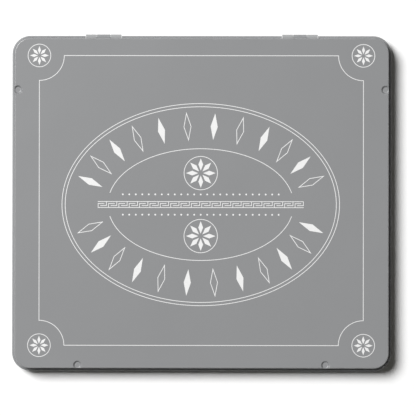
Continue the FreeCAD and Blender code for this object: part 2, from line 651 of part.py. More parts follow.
def make_casing(index):
    """The six-sided wooden casing: rounded edges, a sharpened cone and a bore for the core."""
    label = f"pencil_{index + 1:02d}_casing"
    body = new_body(label)
    section = new_sketch(body, f"{label}_section", "XY_Plane")
    corner = "Sizes.pencil_flats / sqrt(3)"
    half = "Sizes.pencil_flats / 2"
    draw_polygon(section, [
        (corner, "0"), (f"{corner} / 2", half), (f"0 - {corner} / 2", half),
        (f"0 - {corner}", "0"), (f"0 - {corner} / 2", f"0 - {half}"), (f"{corner} / 2", f"0 - {half}"),
    ])
    blank = add_pad(body, f"{label}_blank", section, "Sizes.pencil_length")
    long_edges = [
        f"Edge{number}"
        for number, edge in enumerate(blank.Shape.Edges, start=1)
        if edge.BoundBox.ZLength > worth("Sizes.pencil_length") / 2
    ]
    rounded = add_rounding(body, f"{label}_edges", blank, long_edges, "Sizes.pencil_edge_radius")
    end_edges = names_on_level("Edge", rounded.Shape.Edges, 0.0)
    add_rounding(body, f"{label}_end", rounded, end_edges, "Sizes.pencil_end_radius")

    profile = new_sketch(body, f"{label}_sharpening_profile", "XZ_Plane")
    outside = f"({CORNER_REACH} + Sizes.pencil_edge_radius)"
    cone_foot = f"(Sizes.pencil_length - ({outside} - Sizes.point_radius) / {SHARPEN_SLOPE})"
    draw_polygon(profile, [
        ("Sizes.point_radius", "Sizes.pencil_length"),
        (outside, cone_foot),
        (outside, "Sizes.pencil_length"),
    ])
    sharpening = body.newObject("PartDesign::Groove", f"{label}_sharpening")
    sharpening.Profile = profile
    sharpening.ReferenceAxis = (profile, ["V_Axis"])
    sharpening.Angle = 360
    document.recompute()

    bore_section = new_sketch(body, f"{label}_bore_section", "XY_Plane")
    draw_circle(bore_section, "(Sizes.core_radius + Sizes.glue_gap)")
    bore = body.newObject("PartDesign::Pocket", f"{label}_bore")
    bore.Profile = bore_section
    bore.Reversed = True
    bind(bore, Length="Sizes.pencil_length")
    document.recompute()
    lay_pencil_piece(body, index)
    return body


def make_core(index):
    """The coloured core: a rod as long as the pencil with its point on the same cone as the casing."""
    label = f"pencil_{index + 1:02d}_core"
    body = new_body(label)
    profile = new_sketch(body, f"{label}_profile", "XZ_Plane")
    cone_foot = f"(Sizes.pencil_length - (Sizes.core_radius - Sizes.point_radius) / {SHARPEN_SLOPE})"
    draw_polygon(profile, [
        ("0", "0"),
        ("Sizes.core_radius", "0"),
        ("Sizes.core_radius", cone_foot),
        ("Sizes.point_radius", "Sizes.pencil_length"),
        ("0", "Sizes.pencil_length"),
    ])
    rod = body.newObject("PartDesign::Revolution", f"{label}_rod")
    rod.Profile = profile
    rod.ReferenceAxis = (profile, ["V_Axis"])
    rod.Angle = 360
    document.recompute()
    lay_pencil_piece(body, index)
    return body


def check_document():
    """Stop if any object of the document failed to build."""
    for item in document.Objects:
        if {"Invalid", "Error"} & set(item.State):
            raise RuntimeError(f"{item.Label} failed: {item.State}")


def write_parts(pieces):
    """Check each piece's solid and write it under its own label."""
    os.makedirs("parts", exist_ok=True)
    for piece in pieces:
        shape = piece.Shape
        if shape.isNull() or not shape.isValid() or not shape.Solids:
            raise RuntimeError(f"{piece.Label} has no valid solid")
    for piece in pieces:
        piece.Shape.exportStep(f"parts/{piece.Label}.step")
        print(f"{piece.Label}: {piece.Shape.Volume:.1f} mm3")


def main():
    """Build every piece in order and write it."""
    pieces = [make_base(), make_lid(), make_tray()]
    for side in SIDES:
        pieces.append(make_hinge_leaf(side))
        pieces.append(make_hinge_pin(side))
    for index in range(PENCIL_COUNT):
        pieces.append(make_casing(index))
        pieces.append(make_core(index))
    document.recompute()
    check_document()
    write_parts(pieces)


if __name__ == "__main__":
    main()
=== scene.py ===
"""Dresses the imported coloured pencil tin, prints its lid and sets it in a plain white studio."""

import json
import logging
import math
from dataclasses import dataclass, replace
from enum import Enum
from typing import Any, Sequence

import bmesh
import bpy
from mathutils import Matrix, Vector


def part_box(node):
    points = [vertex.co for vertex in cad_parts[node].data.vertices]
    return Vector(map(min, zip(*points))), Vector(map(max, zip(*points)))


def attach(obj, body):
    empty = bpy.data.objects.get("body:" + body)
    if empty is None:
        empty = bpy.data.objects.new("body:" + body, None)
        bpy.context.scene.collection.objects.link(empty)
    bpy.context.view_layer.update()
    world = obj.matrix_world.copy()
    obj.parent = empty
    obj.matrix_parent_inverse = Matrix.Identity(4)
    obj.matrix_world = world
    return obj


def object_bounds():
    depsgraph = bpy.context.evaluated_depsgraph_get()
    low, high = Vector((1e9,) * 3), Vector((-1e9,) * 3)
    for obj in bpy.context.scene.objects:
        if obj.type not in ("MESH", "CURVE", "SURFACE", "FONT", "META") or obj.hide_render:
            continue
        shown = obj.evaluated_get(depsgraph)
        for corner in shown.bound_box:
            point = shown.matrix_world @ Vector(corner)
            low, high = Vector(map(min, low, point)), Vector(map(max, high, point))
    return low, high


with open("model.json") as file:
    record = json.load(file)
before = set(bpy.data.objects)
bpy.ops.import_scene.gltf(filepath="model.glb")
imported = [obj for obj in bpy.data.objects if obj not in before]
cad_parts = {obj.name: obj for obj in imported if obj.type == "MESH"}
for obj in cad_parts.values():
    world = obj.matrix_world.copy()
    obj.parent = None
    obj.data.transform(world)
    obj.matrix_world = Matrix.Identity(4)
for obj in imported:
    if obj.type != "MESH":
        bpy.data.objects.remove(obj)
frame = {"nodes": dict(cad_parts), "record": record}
CAD_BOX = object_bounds()

MM = 0.001
LOG = logging.getLogger("pencil_tin")

# A colour, values along X, Y and Z, a point in plan, and where a smooth rise starts and ends
Colour = tuple[float, float, float]
Triple = tuple[float, float, float]
Point = tuple[float, float]
Span = tuple[float, float]

WHITE: Colour = (1.0, 1.0, 1.0)

# How finely a noise is broken up
SOFT_DETAIL = 3.0
GRAIN_DETAIL = 4.0
FINE_DETAIL = 5.0

# Angles in degrees, and the directions of the print's upper and lower half
FULL_TURN = 360.0
QUARTER_TURN = 90.0
UP_AND_DOWN = (QUARTER_TURN, 3 * QUARTER_TURN)

# Places of a Mix node's sockets for colours
MIX_SHARE, MIX_FIRST, MIX_SECOND = 0, 6, 7
MIX_RESULT = 2


class Facing(Enum):
    """Which way the closed face of a pressed shell looks."""

    UP = 1.0
    DOWN = -1.0


class Drawing(Enum):
    """How a printed lozenge is drawn."""

    SOLID = "solid"
    OUTLINE = "outline"


class Socket:
    """One output of a shader node, on which Python arithmetic adds Math nodes."""

    def __init__(self, graph: "Graph", link: bpy.types.NodeSocket | None) -> None:
        """Keep the output and the graph that it belongs to."""
        self.graph = graph
        self.link = link

    def __add__(self, other: "Term") -> "Socket":
        """Return this value plus another."""
        return self.graph.math("ADD", self, other)

    def __radd__(self, other: float) -> "Socket":
        """Return a number plus this value."""
        return self.graph.math("ADD", other, self)

    def __sub__(self, other: "Term") -> "Socket":
        """Return this value less another."""
        return self.graph.math("SUBTRACT", self, other)

    def __rsub__(self, other: float) -> "Socket":
        """Return a number less this value."""
        return self.graph.math("SUBTRACT", other, self)

    def __mul__(self, other: "Term") -> "Socket":
        """Return this value times another."""
        return self.graph.math("MULTIPLY", self, other)

    def __rmul__(self, other: float) -> "Socket":
        """Return a number times this value."""
        return self.graph.math("MULTIPLY", other, self)

    def __pow__(self, power: float) -> "Socket":
        """Return this value raised to a power."""
        return self.graph.math("POWER", self, power)

    def __abs__(self) -> "Socket":
        """Return this value without its sign."""
        return self.graph.math("ABSOLUTE", self)

    def most(self, other: "Term") -> "Socket":
        """Return the larger of this value and another."""
        return self.graph.math("MAXIMUM", self, other)

    def least(self, other: "Term") -> "Socket":
        """Return the smaller of this value and another."""
        return self.graph.math("MINIMUM", self, other)

    def wave(self) -> "Socket":
        """Return the sine of this value."""
        return self.graph.math("SINE", self)

    def rise(self, low: float, high: float) -> "Socket":
        """Return 0 up to one value, 1 from another, and a smooth rise between them."""
        limits = {"Value": self, "From Min": low, "From Max": high}
        return self.graph.node("ShaderNodeMapRange", {"interpolation_type": "SMOOTHSTEP"}, limits)

    def tone(self, swing: float) -> "Socket":
        """Return a factor about 1 that follows this noise."""
        return self * swing + (1 - swing / 2)


Term = Socket | float


class Graph:
    """The node tree of one material or of the world."""

    def __init__(self, tree: bpy.types.NodeTree) -> None:
        """Take over a node tree and empty it."""
        self.tree = tree
        tree.nodes.clear()

    def node(
        self,
        kind: str,
        settings: dict[str, Any] | None = None,
        sockets: dict[str | int, Any] | None = None,
        output: str | int = 0,
    ) -> Socket:
        """Add a node of any kind.

        Args:
            kind: Blender's name of the node's type.
            settings: the node's own properties, set before its sockets.
            sockets: numbers, colours or Sockets for its inputs, by name or by place.
            output: the output that is handed back.

        Returns:
            That output, or an empty Socket for a node without outputs.
        """
        added = self.tree.nodes.new(kind)
        for name, value in (settings or {}).items():
            setattr(added, name, value)
        for name, value in (sockets or {}).items():
            entry = added.inputs[name]
            if isinstance(value, Socket):
                self.tree.links.new(value.link, entry)
            elif entry.type == "RGBA":
                entry.default_value = (*value, 1.0)
            else:
                entry.default_value = value
        return Socket(self, added.outputs[output] if len(added.outputs) else None)

    def math(self, operation: str, *terms: Term) -> Socket:
        """Return a Math node of the given terms."""
        return self.node("ShaderNodeMath", {"operation": operation}, dict(enumerate(terms)))

    def mixed(self, share: Term, first: Colour | Socket, second: Colour | Socket) -> Socket:
        """Return the first colour turning into the second as the share goes from 0 to 1."""
        sockets = {MIX_SHARE: share, MIX_FIRST: first, MIX_SECOND: second}
        return self.node("ShaderNodeMix", {"data_type": "RGBA"}, sockets, MIX_RESULT)

    def shaded(self, colour: Colour | Socket, amount: Term) -> Socket:
        """Return a colour made lighter or darker by a factor."""
        terms = {0: colour, "Scale": amount}
        return self.node("ShaderNodeVectorMath", {"operation": "SCALE"}, terms)

    def vector_math(self, operation: str, first: Socket, second: Triple) -> Socket:
        """Return a Vector Math node of two vectors."""
        terms = {0: first, 1: second}
        return self.node("ShaderNodeVectorMath", {"operation": operation}, terms)

    def place(self) -> Socket:
        """Return the point of the surface at rest, in millimetres."""
        return self.shaded(self.node("ShaderNodeTexCoord", output="Object"), 1 / MM)

    def facing(self) -> Socket:
        """Return the surface's normal at rest."""
        return self.node("ShaderNodeTexCoord", output="Normal")

    def parts(self, vector: Socket) -> tuple[Socket, Socket, Socket]:
        """Split a vector into its three values.

        Args:
            vector: the vector.

        Returns:
            Its X, Y and Z.
        """
        first = self.node("ShaderNodeSeparateXYZ", None, {"Vector": vector})
        x, y, z = (Socket(self, output) for output in first.link.node.outputs)
        return x, y, z

    def noise(self, place: Socket, scale: float, detail: float = 2.0) -> Socket:
        """Return a smooth noise about 0.5."""
        sockets = {"Vector": place, "Scale": scale, "Detail": detail}
        return self.node("ShaderNodeTexNoise", None, sockets)

    def streaks(self, place: Socket, scales: Triple, detail: float = 2.0) -> Socket:
        """Return a noise about 0.5 with a scale of its own along each axis."""
        return self.noise(self.vector_math("MULTIPLY", place, scales), 1.0, detail)

    def bump(self, height: Socket, depth: float) -> Socket:
        """Return the normal of a surface raised by a height times a depth in millimetres."""
        return self.node("ShaderNodeBump", None, {"Distance": depth * MM, "Height": height})

    def principled(self, **inputs: Any) -> Socket:
        """Add a Principled shader.

        Args:
            inputs: its sockets, with underscores for the spaces in their names.

        Returns:
            The shader.
        """
        named = {name.replace("_", " "): value for name, value in inputs.items()}
        return self.node("ShaderNodeBsdfPrincipled", None, named)

    def surface(self, shader: Socket) -> None:
        """End a material with a shader."""
        self.node("ShaderNodeOutputMaterial", None, {"Surface": shader})


def new_material(name: str) -> tuple[bpy.types.Material, Graph]:
    """Make an empty material.

    Args:
        name: its name.

    Returns:
        The material and the graph of its nodes.
    """
    material = bpy.data.materials.new(name)
    material.use_nodes = True
    return material, Graph(material.node_tree)


@dataclass(frozen=True)
class PaintedTin:
    """Varnished enamel outside a pressed shell and bare tinplate inside it; lengths in mm."""

    half_length: float
    half_width: float
    corner_radius: float
    facing: Facing
    wall_edge: Span = (-0.21, -0.12)
    coated_level: Span = (0.2, 0.35)
    skin_depth: float = 0.004
    enamel: Colour = (0.271, 0.275, 0.282)
    enamel_roughness: float = 0.18
    enamel_gloss: float = 0.03
    varnish_edge: Span = (0.02, 0.08)
    varnish_roughness: float = 0.28
    varnish_depth: float = 0.13
    mottle_scale: float = 0.03
    mottle_tone: float = 0.06
    mottle_roughness: float = 0.12
    peel_scale: float = 1.3
    bend_start: Span = (0.2, 0.45)
    bend_end: Span = (0.9, 0.985)
    bend_tone: float = 0.08
    chip_scale: float = 0.8
    chip_edge: Span = (0.66, 0.7)
    chip_share: float = 0.7
    # Painted shade: the enamel is darkened in the crease at the foot of the skirt, where shade
    # falls
    crease_start: Span = (0.05, 0.15)
    crease_end: Span = (0.5, 1.0)
    crease_painted_shade: float = 0.15
    tin: Colour = (0.42, 0.415, 0.40)
    tin_roughness: float = 0.26
    wall_roughness: float = 0.25
    line_scales: Triple = (0.03, 2.2, 2.2)
    line_tone: float = 0.4
    line_roughness: float = 0.16
    line_height: float = 0.5

    def outline_distance(self, x: Socket, y: Socket) -> Socket:
        """Measure how far a point lies outside the shell's rounded outline.

        Args:
            x: the point's X.
            y: the point's Y.

        Returns:
            The distance, negative inside.
        """
        over_x = abs(x) - (self.half_length - self.corner_radius)
        over_y = abs(y) - (self.half_width - self.corner_radius)
        out_x = over_x.most(0.0)
        out_y = over_y.most(0.0)
        corner = (out_x * out_x + out_y * out_y) ** 0.5
        return corner + over_x.most(over_y).least(0.0) - self.corner_radius

    def material(self, name: str) -> bpy.types.Material:
        """Make the finish.

        Args:
            name: the material's name.

        Returns:
            The material.
        """
        material, graph = new_material(name)
        place = graph.place()
        x, y, _ = graph.parts(place)
        upward = graph.parts(graph.facing())[2]
        level = abs(upward)
        outside = self.outline_distance(x, y)
        outer_wall = outside.rise(*self.wall_edge)
        coated = outer_wall.most((upward * self.facing.value).rise(*self.coated_level))
        varnished = 1 - outside.rise(*self.varnish_edge)
        # Band at the foot of the skirt that receives the painted shade
        crease = outside.rise(*self.crease_start) * (1 - outside.rise(*self.crease_end))
        bend = level.rise(*self.bend_start) * (1 - level.rise(*self.bend_end))
        chipped = bend * graph.noise(place, self.chip_scale, FINE_DETAIL).rise(*self.chip_edge)
        painted = coated * (1 - chipped * self.chip_share)
        bare = 1 - painted

        mottle = graph.noise(place, self.mottle_scale, SOFT_DETAIL)
        peel = graph.noise(place, self.peel_scale)
        lines = graph.streaks(place, self.line_scales, FINE_DETAIL)
        # The varnish term deepens the varnished enamel's own colour; the crease term is painted
        # shade in the crease
        varnish_depth_and_crease_shade = varnished * self.varnish_depth + crease * self.crease_painted_shade
        enamel_tone = mottle.tone(self.mottle_tone) + bend * self.bend_tone - varnish_depth_and_crease_shade
        enamel_roughness = self.enamel_roughness + (mottle - 0.5) * self.mottle_roughness
        wall_roughness = (1 - level) * self.wall_roughness
        tin_roughness = self.tin_roughness + lines * self.line_roughness + wall_roughness
        enamel = graph.shaded(self.enamel, enamel_tone)
        tin = graph.shaded(self.tin, lines.tone(self.line_tone))
        relief = painted * peel + bare * level * lines * self.line_height
        shader = graph.principled(
            Base_Color=graph.mixed(painted, tin, enamel),
            Metallic=bare,
            Roughness=painted * enamel_roughness + bare * tin_roughness,
            Specular_IOR_Level=self.enamel_gloss,
            Coat_Weight=painted * varnished,
            Coat_Roughness=self.varnish_roughness,
            Normal=graph.bump(relief, self.skin_depth),
        )
        graph.surface(shader)
        return material


@dataclass(frozen=True)
class DrawnWire:
    """Bare wire with the lines of the drawing die; lengths in mm."""

    colour: Colour
    roughness: float
    line_scales: Triple
    line_tone: float = 0.2
    line_roughness: float = 0.15
    line_depth: float = 0.006
    stain_scale: float = 0.25
    stain_tone: float = 0.2

    def material(self, name: str) -> bpy.types.Material:
        """Make the finish.

        Args:
            name: the material's name.

        Returns:
            The material.
        """
        material, graph = new_material(name)
        place = graph.place()
        lines = graph.streaks(place, self.line_scales, GRAIN_DETAIL)
        stain = graph.noise(place, self.stain_scale, SOFT_DETAIL)
        tone = lines.tone(self.line_tone) + (stain - 0.5) * self.stain_tone
        shader = graph.principled(
            Base_Color=graph.shaded(self.colour, tone),
            Metallic=1.0,
            Roughness=self.roughness + lines * self.line_roughness,
            Normal=graph.bump(lines, self.line_depth),
        )
        graph.surface(shader)
        return material


@dataclass(frozen=True)
class MouldedPlastic:
    """Dull moulded plastic with a finely etched skin; lengths in mm."""

    colour: Colour = (0.035, 0.036, 0.038)
    roughness: float = 0.46
    etch_scale: float = 4.0
    etch_roughness: float = 0.16
    etch_depth: float = 0.012
    flow_scale: float = 0.05
    flow_tone: float = 0.4

    def material(self, name: str) -> bpy.types.Material:
        """Make the finish.

        Args:
            name: the material's name.

        Returns:
            The material.
        """
        material, graph = new_material(name)
        place = graph.place()
        etched = graph.noise(place, self.etch_scale)
        flow = graph.noise(place, self.flow_scale, SOFT_DETAIL)
        shader = graph.principled(
            Base_Color=graph.shaded(self.colour, flow.tone(self.flow_tone)),
            Roughness=self.roughness + (etched - 0.5) * self.etch_roughness,
            Normal=graph.bump(etched, self.etch_depth),
        )
        graph.surface(shader)
        return material


@dataclass(frozen=True)
class PencilWood:
    """Pale wood of a sharpened pencil, with its fibres along the pencil."""

    early: Colour = (0.70, 0.50, 0.31)
    late: Colour = (0.50, 0.31, 0.16)
    late_edge: Span = (0.5, 0.95)
    ring_scales: Triple = (1.1, 0.05, 1.1)
    ring_share: float = 0.8
    fibre_scales: Triple = (9.0, 0.5, 9.0)
    fibre_share: float = 0.5

    def colour(self, graph: Graph, place: Socket, offset: float) -> Socket:
        """Colour the wood.

        Args:
            graph: the graph to add to.
            place: the point of the surface, in millimetres.
            offset: a shift that gives each pencil its own grain.

        Returns:
            The colour.
        """
        shifted = graph.vector_math("ADD", place, (0.0, offset, 0.0))
        rings = graph.streaks(shifted, self.ring_scales, SOFT_DETAIL)
        fibres = graph.streaks(shifted, self.fibre_scales, SOFT_DETAIL)
        grain = rings * self.ring_share + fibres * self.fibre_share
        return graph.mixed(grain.rise(*self.late_edge), self.early, self.late)


@dataclass(frozen=True)
class PencilLacquer:
    """Gloss lacquer on a six-sided casing, and bare wood at its two ends; lengths in mm."""

    colour: Colour
    axis_x: float
    butt_y: float
    wood: PencilWood = PencilWood()
    grain_shift: float = 9.0
    roughness: float = 0.24
    coat: float = 0.6
    coat_roughness: float = 0.08
    skin_depth: float = 0.01
    ripple_scales: Triple = (0.5, 0.06, 0.5)
    ripple_tone: float = 0.12
    ripple_roughness: float = 0.1
    ripple_height: float = 0.3
    sharpened_slope: Span = (0.05, 0.09)
    sawn_edge: Span = (-0.2, -0.12)
    bare_roughness: float = 0.42
    speck_scale: float = 7.0
    knife_rate: float = 14.0
    knife_height: float = 0.3

    def material(self, name: str) -> bpy.types.Material:
        """Make the finish.

        Args:
            name: the material's name.

        Returns:
            The material.
        """
        material, graph = new_material(name)
        place = graph.place()
        _, y, _ = graph.parts(place)
        _, forward, _ = graph.parts(graph.facing())
        sharpened = forward.rise(*self.sharpened_slope)
        sawn = (self.butt_y - y).rise(*self.sawn_edge)
        bare = sharpened.most(sawn)

        ripple = graph.streaks(place, self.ripple_scales)
        speck = graph.noise(place, self.speck_scale)
        knife = (y * self.knife_rate).wave()
        lacquer = graph.shaded(self.colour, ripple.tone(self.ripple_tone))
        wood = self.wood.colour(graph, place, self.axis_x * self.grain_shift)
        lacquer_roughness = self.roughness + ripple * self.ripple_roughness
        relief = ripple * self.ripple_height + bare * (speck + knife * self.knife_height)
        shader = graph.principled(
            Base_Color=graph.mixed(bare, lacquer, wood),
            Roughness=lacquer_roughness + bare * self.bare_roughness,
            Coat_Weight=(1 - bare) * self.coat,
            Coat_Roughness=self.coat_roughness,
            Normal=graph.bump(relief, self.skin_depth),
        )
        graph.surface(shader)
        return material


@dataclass(frozen=True)
class PencilCore:
    """Waxy pigment core with a chalky grain; lengths in mm."""

    colour: Colour
    roughness: float = 0.42
    chalk: Colour = (0.85, 0.84, 0.82)
    chalk_scale: float = 5.0
    chalk_edge: Span = (0.55, 0.9)
    chalk_share: float = 0.25
    chalk_roughness: float = 0.3
    chalk_depth: float = 0.02

    def material(self, name: str) -> bpy.types.Material:
        """Make the finish.

        Args:
            name: the material's name.

        Returns:
            The material.
        """
        material, graph = new_material(name)
        grain = graph.noise(graph.place(), self.chalk_scale, GRAIN_DETAIL)
        chalky = grain.rise(*self.chalk_edge) * self.chalk_share
        shader = graph.principled(
            Base_Color=graph.mixed(chalky, self.colour, self.chalk),
            Roughness=self.roughness + grain * self.chalk_roughness,
            Normal=graph.bump(grain, self.chalk_depth),
        )
        graph.surface(shader)
        return material


@dataclass(frozen=True)
class ScreenInk:
    """Opaque white ink, a little uneven where the screen left less; lengths in mm."""

    colour: Colour = (0.80, 0.80, 0.80)
    roughness: float = 0.5
    cover_scale: float = 0.6
    cover_tone: float = 0.12
    cover_roughness: float = 0.2
    grain_scale: float = 6.0
    grain_depth: float = 0.004

    def material(self, name: str) -> bpy.types.Material:
        """Make the finish.

        Args:
            name: the material's name.

        Returns:
            The material.
        """
        material, graph = new_material(name)
        place = graph.place()
        cover = graph.noise(place, self.cover_scale, GRAIN_DETAIL)
        shader = graph.principled(
            Base_Color=graph.shaded(self.colour, cover.tone(self.cover_tone)),
            Roughness=self.roughness + (cover - 0.5) * self.cover_roughness,
            Normal=graph.bump(graph.noise(place, self.grain_scale), self.grain_depth),
        )
        graph.surface(shader)
        return material


@dataclass(frozen=True)
class StudioPaper:
    """White floor with the object's shadow near it and plain white further out; lengths in mm."""

    bounce: float = 0.6
    seen: float = 1.0
    fade_from: float = 240.0
    fade_to: float = 420.0

    def material(self, name: str) -> bpy.types.Material:
        """Make the finish.

        Args:
            name: the material's name.

        Returns:
            The material.
        """
        material, graph = new_material(name)
        x, y, _ = graph.parts(graph.place())
        looked_at = background_rays(graph)
        tone = self.bounce + looked_at * (self.seen - self.bounce)
        paper = graph.principled(
            Base_Color=graph.shaded(WHITE, tone),
            Roughness=1.0,
            Specular_IOR_Level=0.0,
        )
        white = graph.node("ShaderNodeEmission", None, {"Color": WHITE, "Strength": 1.0})
        far = ((x * x + y * y) ** 0.5).rise(self.fade_from, self.fade_to)
        shaders = {0: far * looked_at, 1: paper, 2: white}
        graph.surface(graph.node("ShaderNodeMixShader", None, shaders))
        return material


def background_rays(graph: Graph) -> Socket:
    """Tell the rays that show the background from those that carry light.

    Args:
        graph: the graph to add to.

    Returns:
        1 for camera, glossy and transmission rays, and 0 for the rest.
    """
    camera = graph.node("ShaderNodeLightPath", output="Is Camera Ray")
    glossy = graph.node("ShaderNodeLightPath", output="Is Glossy Ray")
    transmission = graph.node("ShaderNodeLightPath", output="Is Transmission Ray")
    return camera.most(glossy).most(transmission)


def dress(node: str, material: bpy.types.Material) -> None:
    """Give a CAD node its finish.

    Args:
        node: the node's name.
        material: the finish.
    """
    materials = frame["nodes"][node].data.materials
    materials.clear()
    materials.append(material)
    LOG.info("dressed %s with %s", node, material.name)


def record_colours() -> dict[str, Colour]:
    """Return each CAD node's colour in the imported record."""
    slots = {row["slot"]: tuple(row["base_color"]) for row in frame["record"]["materials"]}
    return {row["node"]: slots[row["material_slot"]] for row in frame["record"]["subparts"]}


def arc(centre: Point, radii: Point, start: float, end: float, steps: int) -> list[Point]:
    """Walk along an arc of an ellipse.

    Args:
        centre: its centre.
        radii: its half axes along X and Y.
        start: the first angle, in degrees.
        end: the last angle, in degrees.
        steps: the number of steps between them.

    Returns:
        The points, both ends included.
    """
    turns = [math.radians(start + (end - start) * step / steps) for step in range(steps + 1)]
    return [
        (centre[0] + radii[0] * math.cos(turn), centre[1] + radii[1] * math.sin(turn))
        for turn in turns
    ]


def ellipse(centre: Point, radii: Point, steps: int) -> list[Point]:
    """Return the points of a whole ellipse, each of them once."""
    return arc(centre, radii, 0.0, FULL_TURN, steps)[:-1]


def ellipse_point(centre: Point, radii: Point, turn: float) -> Point:
    """Return the point of an ellipse at an angle in degrees."""
    return arc(centre, radii, turn, turn, 1)[0]


class InkLayer:
    """Closed prisms of ink on a level panel, gathered into one piece; lengths in mm."""

    def __init__(self, level: float, thickness: float) -> None:
        """Start an empty layer.

        Args:
            level: the height of the panel.
            thickness: how far the ink stands above it.
        """
        self.level = level
        self.thickness = thickness
        self.mesh = bmesh.new()

    def _row(self, points: Sequence[Point], level: float) -> list[bmesh.types.BMVert]:
        """Return new vertices over the given points at one height."""
        return [self.mesh.verts.new((x * MM, y * MM, level * MM)) for x, y in points]

    def fill(self, outline: Sequence[Point]) -> None:
        """Print a filled convex shape.

        Args:
            outline: its corners in order.
        """
        low = self._row(outline, self.level)
        high = self._row(outline, self.level + self.thickness)
        self.mesh.faces.new(high)
        self.mesh.faces.new(low)
        for index in range(len(outline)):
            self.mesh.faces.new((low[index - 1], low[index], high[index], high[index - 1]))

    def stroke(self, path: Sequence[Point], width: float, closed: bool = False) -> None:
        """Print a line of one width with mitred corners.

        Args:
            path: the points that its middle follows.
            width: its width.
            closed: whether its end joins its start.
        """
        rails = [
            self._row(self._beside(path, side * width / 2, closed), level)
            for level in (self.level, self.level + self.thickness)
            for side in (1, -1)
        ]
        left_low, right_low, left_high, right_high = rails
        around = (left_low, right_low, right_high, left_high)
        for here in range(0 if closed else 1, len(path)):
            back = here - 1
            for side, rail in enumerate(around):
                last = around[side - 1]
                self.mesh.faces.new((last[back], last[here], rail[here], rail[back]))
        if not closed:
            for end in (0, -1):
                self.mesh.faces.new([rail[end] for rail in around])

    @staticmethod
    def _beside(path: Sequence[Point], shift: float, closed: bool) -> list[Point]:
        """Shift a path sideways.

        Args:
            path: its points.
            shift: how far to its left.
            closed: whether its end joins its start.

        Returns:
            The shifted points, mitred at each turn.
        """
        points = [Vector(point) for point in path]
        shifted = []
        for index, point in enumerate(points):
            before = points[index - 1] if closed or index else None
            last = index + 1 == len(points)
            after = points[(index + 1) % len(points)] if closed or not last else None
            runs = [(b - a).normalized() for a, b in ((before, point), (point, after)) if a and b]
            lefts = [Vector((-run.y, run.x)) for run in runs]
            mitre = sum(lefts, Vector((0.0, 0.0))).normalized()
            moved = point + mitre * (shift / mitre.dot(lefts[0]))
            shifted.append((moved.x, moved.y))
        return shifted

    def lozenge(
        self, centre: Point, angle: float, halves: Point, drawing: Drawing, width: float
    ) -> None:
        """Print a lozenge.

        Args:
            centre: its middle.
            angle: the direction of its long axis, in degrees.
            halves: half its length and half its breadth.
            drawing: solid, or an outline.
            width: the outline's width.
        """
        turn = math.radians(angle)
        along = Vector((math.cos(turn), math.sin(turn)))
        aside = Vector((-along.y, along.x))
        reaches = (along * halves[0], aside * halves[1], along * -halves[0], aside * -halves[1])
        outline = [(centre[0] + reach.x, centre[1] + reach.y) for reach in reaches]
        if drawing is Drawing.SOLID:
            self.fill(outline)
        else:
            self.stroke(outline, width, closed=True)

    def piece(self, name: str, material: bpy.types.Material) -> None:
        """Turn the layer into a piece that rides on the lid.

        Args:
            name: the piece's name.
            material: its ink.
        """
        bmesh.ops.recalc_face_normals(self.mesh, faces=self.mesh.faces)
        mesh = bpy.data.meshes.new(name)
        self.mesh.to_mesh(mesh)
        self.mesh.free()
        mesh.materials.append(material)
        made = bpy.data.objects.new(name, mesh)
        bpy.context.scene.collection.objects.link(made)
        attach(made, "lid")
        LOG.info("printed %s with %d faces", name, len(mesh.polygons))


